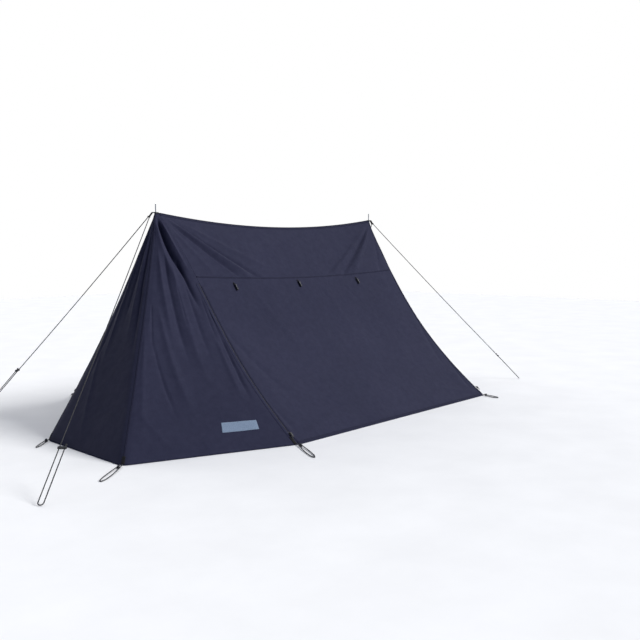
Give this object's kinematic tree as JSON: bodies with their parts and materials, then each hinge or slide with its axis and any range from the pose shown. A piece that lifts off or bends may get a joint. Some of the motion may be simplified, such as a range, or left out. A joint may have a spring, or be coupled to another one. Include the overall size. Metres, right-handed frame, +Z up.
{
  "type": "ridge tent",
  "caption": "Two-pole ridge tent with half-belled ends, lifting side walls with toggles, zipped wall edges, and sliding guy tensioners.",
  "frame": {"origin": "on the ground, midway between the two poles", "axes": "+X along the ridge towards the right pole, +Y towards the back wall, +Z up"},
  "size_m": [5.3245, 3.1952, 1.562],
  "materials": {
    "cloth": "matte proofed cotton and polyester cloth, dark slate blue",
    "ridge_tape": "matte woven tape, near black",
    "webbing": "black woven webbing",
    "peg_loop": "braided cord, black",
    "guy": "braided guy cord, dark grey",
    "tensioner": "dark moulded plastic",
    "toggle": "black moulded plastic",
    "zip_slider": "black painted cast metal",
    "eyelet": "blackened pressed metal",
    "pole_foot": "black rubber",
    "pole_pin": "zinc plated steel",
    "pole_tube": "zinc plated steel tube"
  },
  "bodies": {
    "tent": {"back_yoke": "cloth", "front_yoke": "cloth", "left_back_door_peg_loop": "peg_loop", "left_back_end_flap": "cloth", "left_back_guy": "guy", "left_end_peg_loop": "peg_loop", "left_front_corner_peg_loop": "peg_loop", "left_front_door_gore": "cloth", "left_front_door_peg_loop": "peg_loop", "left_front_end_gore": "cloth", "left_front_guy": "guy", "left_guy_strap": "webbing", "left_peak_eyelet": "eyelet", "left_pole_foot": "pole_foot", "left_pole_lower": "pole_tube", "left_pole_pin": "pole_pin", "left_pole_upper": "pole_tube", "ridge_tape": "ridge_tape", "right_back_corner_peg_loop": "peg_loop", "right_back_door_gore": "cloth", "right_back_door_peg_loop": "peg_loop", "right_back_end_gore": "cloth", "right_back_guy": "guy", "right_end_peg_loop": "peg_loop", "right_front_door_peg_loop": "peg_loop", "right_front_end_flap": "cloth", "right_front_guy": "guy", "right_guy_strap": "webbing", "right_peak_eyelet": "eyelet", "right_pole_foot": "pole_foot", "right_pole_lower": "pole_tube", "right_pole_pin": "pole_pin", "right_pole_upper": "pole_tube"},
    "front_wall": {"front_wall": "cloth"},
    "back_wall": {"back_wall": "cloth"},
    "front_toggle_a": {"front_toggle_a": "toggle", "front_toggle_tab_a": "webbing"},
    "front_toggle_b": {"front_toggle_b": "toggle", "front_toggle_tab_b": "webbing"},
    "front_toggle_c": {"front_toggle_c": "toggle", "front_toggle_tab_c": "webbing"},
    "back_toggle_a": {"back_toggle_a": "toggle", "back_toggle_tab_a": "webbing"},
    "back_toggle_b": {"back_toggle_b": "toggle", "back_toggle_tab_b": "webbing"},
    "back_toggle_c": {"back_toggle_c": "toggle", "back_toggle_tab_c": "webbing"},
    "left_front_tensioner": {"left_front_tensioner": "tensioner"},
    "left_back_tensioner": {"left_back_tensioner": "tensioner"},
    "right_front_tensioner": {"right_front_tensioner": "tensioner"},
    "right_back_tensioner": {"right_back_tensioner": "tensioner"},
    "left_front_zip_slider": {"left_front_zip_slider": "zip_slider"},
    "left_back_zip_slider": {"left_back_zip_slider": "zip_slider"},
    "right_front_zip_slider": {"right_front_zip_slider": "zip_slider"},
    "right_back_zip_slider": {"right_back_zip_slider": "zip_slider"}
  },
  "joints": [
    {"name": "front_wall_lift", "type": "hinge", "parent": "tent", "child": "front_wall", "pos_m": [0, -0.35289, 1.00001], "axis": [-1, 0, 0], "range_deg": [0, 85]},
    {"name": "front_toggle_a_swing", "type": "hinge", "parent": "front_wall", "child": "front_toggle_a", "pos_m": [-0.82, -0.36178, 0.99243], "axis": [-1, 0, 0], "range_deg": [0, 60]},
    {"name": "front_toggle_b_swing", "type": "hinge", "parent": "front_wall", "child": "front_toggle_b", "pos_m": [-0.14, -0.36178, 0.99243], "axis": [-1, 0, 0], "range_deg": [0, 60]},
    {"name": "front_toggle_c_swing", "type": "hinge", "parent": "front_wall", "child": "front_toggle_c", "pos_m": [0.59, -0.36178, 0.99243], "axis": [-1, 0, 0], "range_deg": [0, 60]},
    {"name": "back_wall_lift", "type": "hinge", "parent": "tent", "child": "back_wall", "pos_m": [0, 0.35289, 1.00001], "axis": [1, 0, 0], "range_deg": [0, 85]},
    {"name": "back_toggle_a_swing", "type": "hinge", "parent": "back_wall", "child": "back_toggle_a", "pos_m": [-0.82, 0.36178, 0.99243], "axis": [1, 0, 0], "range_deg": [0, 60]},
    {"name": "back_toggle_b_swing", "type": "hinge", "parent": "back_wall", "child": "back_toggle_b", "pos_m": [-0.14, 0.36178, 0.99243], "axis": [1, 0, 0], "range_deg": [0, 60]},
    {"name": "back_toggle_c_swing", "type": "hinge", "parent": "back_wall", "child": "back_toggle_c", "pos_m": [0.59, 0.36178, 0.99243], "axis": [1, 0, 0], "range_deg": [0, 60]},
    {"name": "left_front_tensioner_slide", "type": "slide", "parent": "tent", "child": "left_front_tensioner", "axis": [-0.6463, -0.4789, -0.5941], "range_m": [0, 0.312]},
    {"name": "left_back_tensioner_slide", "type": "slide", "parent": "tent", "child": "left_back_tensioner", "axis": [-0.3377, 0.5975, -0.7273], "range_m": [0, 0.409]},
    {"name": "right_front_tensioner_slide", "type": "slide", "parent": "tent", "child": "right_front_tensioner", "axis": [0.4191, -0.549, -0.7232], "range_m": [0, 0.251]},
    {"name": "right_back_tensioner_slide", "type": "slide", "parent": "tent", "child": "right_back_tensioner", "axis": [0.4309, 0.5398, -0.7232], "range_m": [0, 0.251]},
    {"name": "left_front_zip_slider_travel", "type": "slide", "parent": "tent", "child": "left_front_zip_slider", "axis": [0.0201, 0.7749, 0.6318], "range_m": [0, 0.3]},
    {"name": "left_back_zip_slider_travel", "type": "slide", "parent": "tent", "child": "left_back_zip_slider", "axis": [0.0201, -0.7749, 0.6318], "range_m": [0, 0.3]},
    {"name": "right_front_zip_slider_travel", "type": "slide", "parent": "tent", "child": "right_front_zip_slider", "axis": [-0.0201, 0.7749, 0.6318], "range_m": [0, 0.3]},
    {"name": "right_back_zip_slider_travel", "type": "slide", "parent": "tent", "child": "right_back_zip_slider", "axis": [-0.0201, -0.7749, 0.6318], "range_m": [0, 0.3]}
  ]
}
